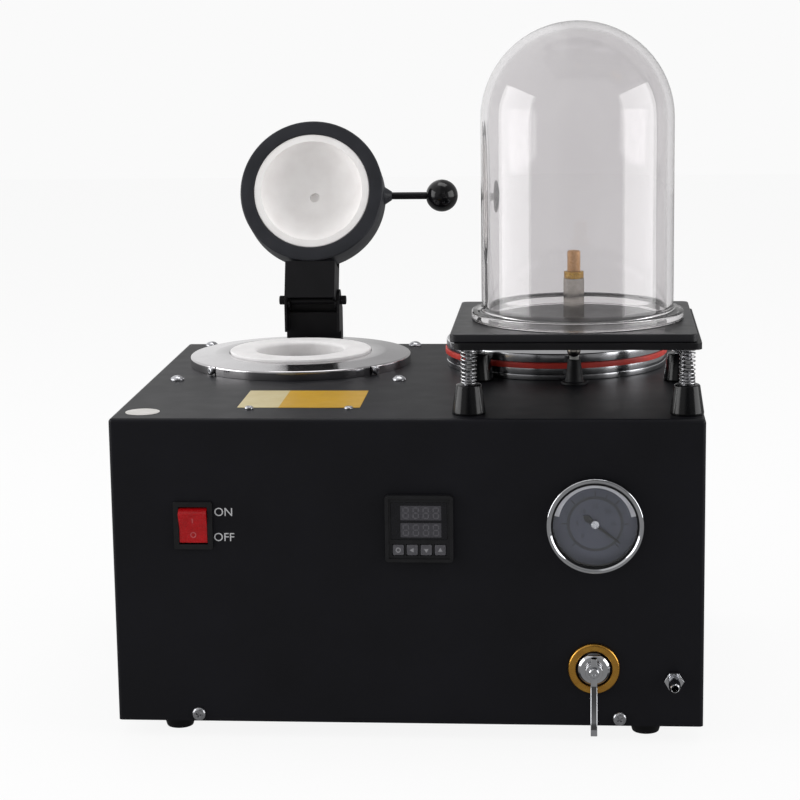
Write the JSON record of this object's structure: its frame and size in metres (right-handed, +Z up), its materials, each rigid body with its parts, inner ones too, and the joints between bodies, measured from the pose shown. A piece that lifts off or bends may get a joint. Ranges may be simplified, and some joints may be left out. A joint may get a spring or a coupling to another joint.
{
  "type": "jewelry vacuum casting machine",
  "caption": "Bench-top electric melting furnace with hinged lid, vacuum casting chamber and sprung investing table with bell jar, on one black steel housing.",
  "frame": {"origin": "on the surface the feet stand on, under the middle of the whole machine with its lid open", "axes": "+Z up, +X to the operator's right when facing the control panel, +Y to the back; the control panel faces -Y"},
  "size_m": [0.426, 0.4074, 0.5058],
  "materials": {
    "black_powder_coat": "semi-matte black powder coat on folded steel",
    "black_rubber": "moulded black rubber",
    "polished_stainless": "spun and polished stainless steel",
    "bright_steel": "zinc-plated or bright steel",
    "black_steel": "black painted steel",
    "white_ceramic": "pressed refractory ceramic, matte white",
    "ceramic_fibre": "smooth white ceramic fibre board",
    "plain_steel": "plain steel sheet",
    "resistance_wire": "oxidised iron-chromium wire",
    "probe_sheath": "stainless probe sheath",
    "graphite": "machined graphite",
    "turned_aluminium": "fine turned aluminium",
    "red_silicone": "red silicone sheet",
    "pot_steel": "brushed stainless pot",
    "nickel": "nickel-plated brass",
    "brass": "machined brass",
    "sintered_bronze": "sintered bronze grains",
    "silicone_hose": "milky silicone hose",
    "clear_acrylic": "clear cast acrylic",
    "chrome_bezel": "chromed steel",
    "dial_paint": "pale grey-blue printed dial",
    "gauge_glass": "clear gauge glass",
    "needle_paint": "black painted pointer",
    "controller_plastic": "dark moulded ABS",
    "smoked_window": "smoked acrylic window",
    "grey_keys": "grey silicone keys",
    "black_nylon": "moulded black nylon",
    "red_rocker": "glossy red rocker",
    "gold_anodised": "gold-coloured anodised ring",
    "valve_chrome": "chromed brass",
    "copper_pipe": "drawn copper pipe",
    "relay_parts": "extruded aluminium heat sink",
    "phenolic_black": "polished black phenolic"
  },
  "bodies": {
    "housing": {"back_panel": "black_powder_coat", "base_pan": "black_powder_coat", "chamber_flange": "turned_aluminium", "chamber_gasket": "red_silicone", "chamber_seat": "turned_aluminium", "controller_case": "controller_plastic", "controller_window": "smoked_window", "furnace_bolts": "black_steel", "furnace_can": "plain_steel", "furnace_collar": "white_ceramic", "furnace_lining": "ceramic_fibre", "furnace_trim": "polished_stainless", "gauge_bezel": "chrome_bezel", "gauge_case": "plain_steel", "gauge_dial": "dial_paint", "gauge_lens": "gauge_glass", "heating_coil": "resistance_wire", "hinge_bracket": "black_powder_coat", "hinge_pin": "bright_steel", "hose_boot": "black_rubber", "housing_cover": "black_powder_coat", "housing_screws": "bright_steel", "leg_studs": "bright_steel", "lever_nut": "valve_chrome", "muffle_tube": "white_ceramic", "power_inlet": "black_nylon", "power_relay": "relay_parts", "pump_port": "valve_chrome", "rubber_feet": "black_rubber", "small_screws": "bright_steel", "switch_frame": "black_nylon", "table_legs": "black_rubber", "thermocouple": "probe_sheath", "vacuum_pipes": "copper_pipe", "vacuum_pot": "pot_steel", "valve_body": "valve_chrome", "valve_ring": "gold_anodised"},
    "lid": {"lid_shell": "black_powder_coat", "lid_lining": "ceramic_fibre", "lid_arm": "black_powder_coat", "handle_rod": "black_steel", "handle_ball": "phenolic_black"},
    "crucible": {"crucible": "graphite"},
    "flask_adapter": {"flask_adapter": "turned_aluminium"},
    "table": {"table_plate": "plain_steel", "plate_spigots": "bright_steel", "rubber_pad": "black_rubber", "port_column": "nickel", "port_nut": "brass", "port_muffler": "sintered_bronze", "table_springs": "bright_steel", "table_hose": "silicone_hose"},
    "bell_jar": {"bell_jar": "clear_acrylic"},
    "needle": {"gauge_needle": "needle_paint"},
    "rocker": {"switch_rocker": "red_rocker"},
    "valve_lever": {"valve_lever": "valve_chrome"},
    "key_1": {"controller_key_1": "grey_keys"},
    "key_2": {"controller_key_2": "grey_keys"},
    "key_3": {"controller_key_3": "grey_keys"},
    "key_4": {"controller_key_4": "grey_keys"}
  },
  "joints": [
    {"name": "lid_hinge", "type": "hinge", "parent": "housing", "child": "lid", "pos_m": [-0.102, 0.14747, 0.272], "axis": [-1, 0, 0], "range_deg": [-110, 0]},
    {"name": "crucible_lift", "type": "slide", "parent": "housing", "child": "crucible", "axis": [0, 0, 1], "range_m": [0, 0.15]},
    {"name": "flask_adapter_lift", "type": "slide", "parent": "housing", "child": "flask_adapter", "axis": [0, 0, 1], "range_m": [0, 0.02]},
    {"name": "table_bounce", "type": "slide", "parent": "housing", "child": "table", "axis": [0, 0, 1], "range_m": [-0.003, 0.003], "stiffness_N_per_m": 8000, "springref_m": 0.00304, "deforming": ["table_springs", "table_hose"]},
    {"name": "jar_lift", "type": "slide", "parent": "table", "child": "bell_jar", "axis": [0, 0, 1], "range_m": [0, 0.25]},
    {"name": "gauge_needle_turn", "type": "hinge", "parent": "housing", "child": "needle", "pos_m": [0.1334, -0.18053, 0.1594], "axis": [0, -1, 0], "range_deg": [0, 252], "stiffness_Nm_per_rad": 0.001, "springref_deg": -5.73},
    {"name": "power_rocker", "type": "hinge", "parent": "housing", "child": "rocker", "pos_m": [-0.151, -0.17733, 0.157], "axis": [-1, 0, 0], "range_deg": [0, 24]},
    {"name": "valve_turn", "type": "hinge", "parent": "housing", "child": "valve_lever", "pos_m": [0.1327, -0.18053, 0.0545], "axis": [0, -1, 0], "range_deg": [-90, 90]},
    {"name": "key_1_press", "type": "slide", "parent": "housing", "child": "key_1", "axis": [0, 1, 0], "range_m": [0, 0.0008], "stiffness_N_per_m": 300},
    {"name": "key_2_press", "type": "slide", "parent": "housing", "child": "key_2", "axis": [0, 1, 0], "range_m": [0, 0.0008], "stiffness_N_per_m": 300},
    {"name": "key_3_press", "type": "slide", "parent": "housing", "child": "key_3", "axis": [0, 1, 0], "range_m": [0, 0.0008], "stiffness_N_per_m": 300},
    {"name": "key_4_press", "type": "slide", "parent": "housing", "child": "key_4", "axis": [0, 1, 0], "range_m": [0, 0.0008], "stiffness_N_per_m": 300}
  ]
}
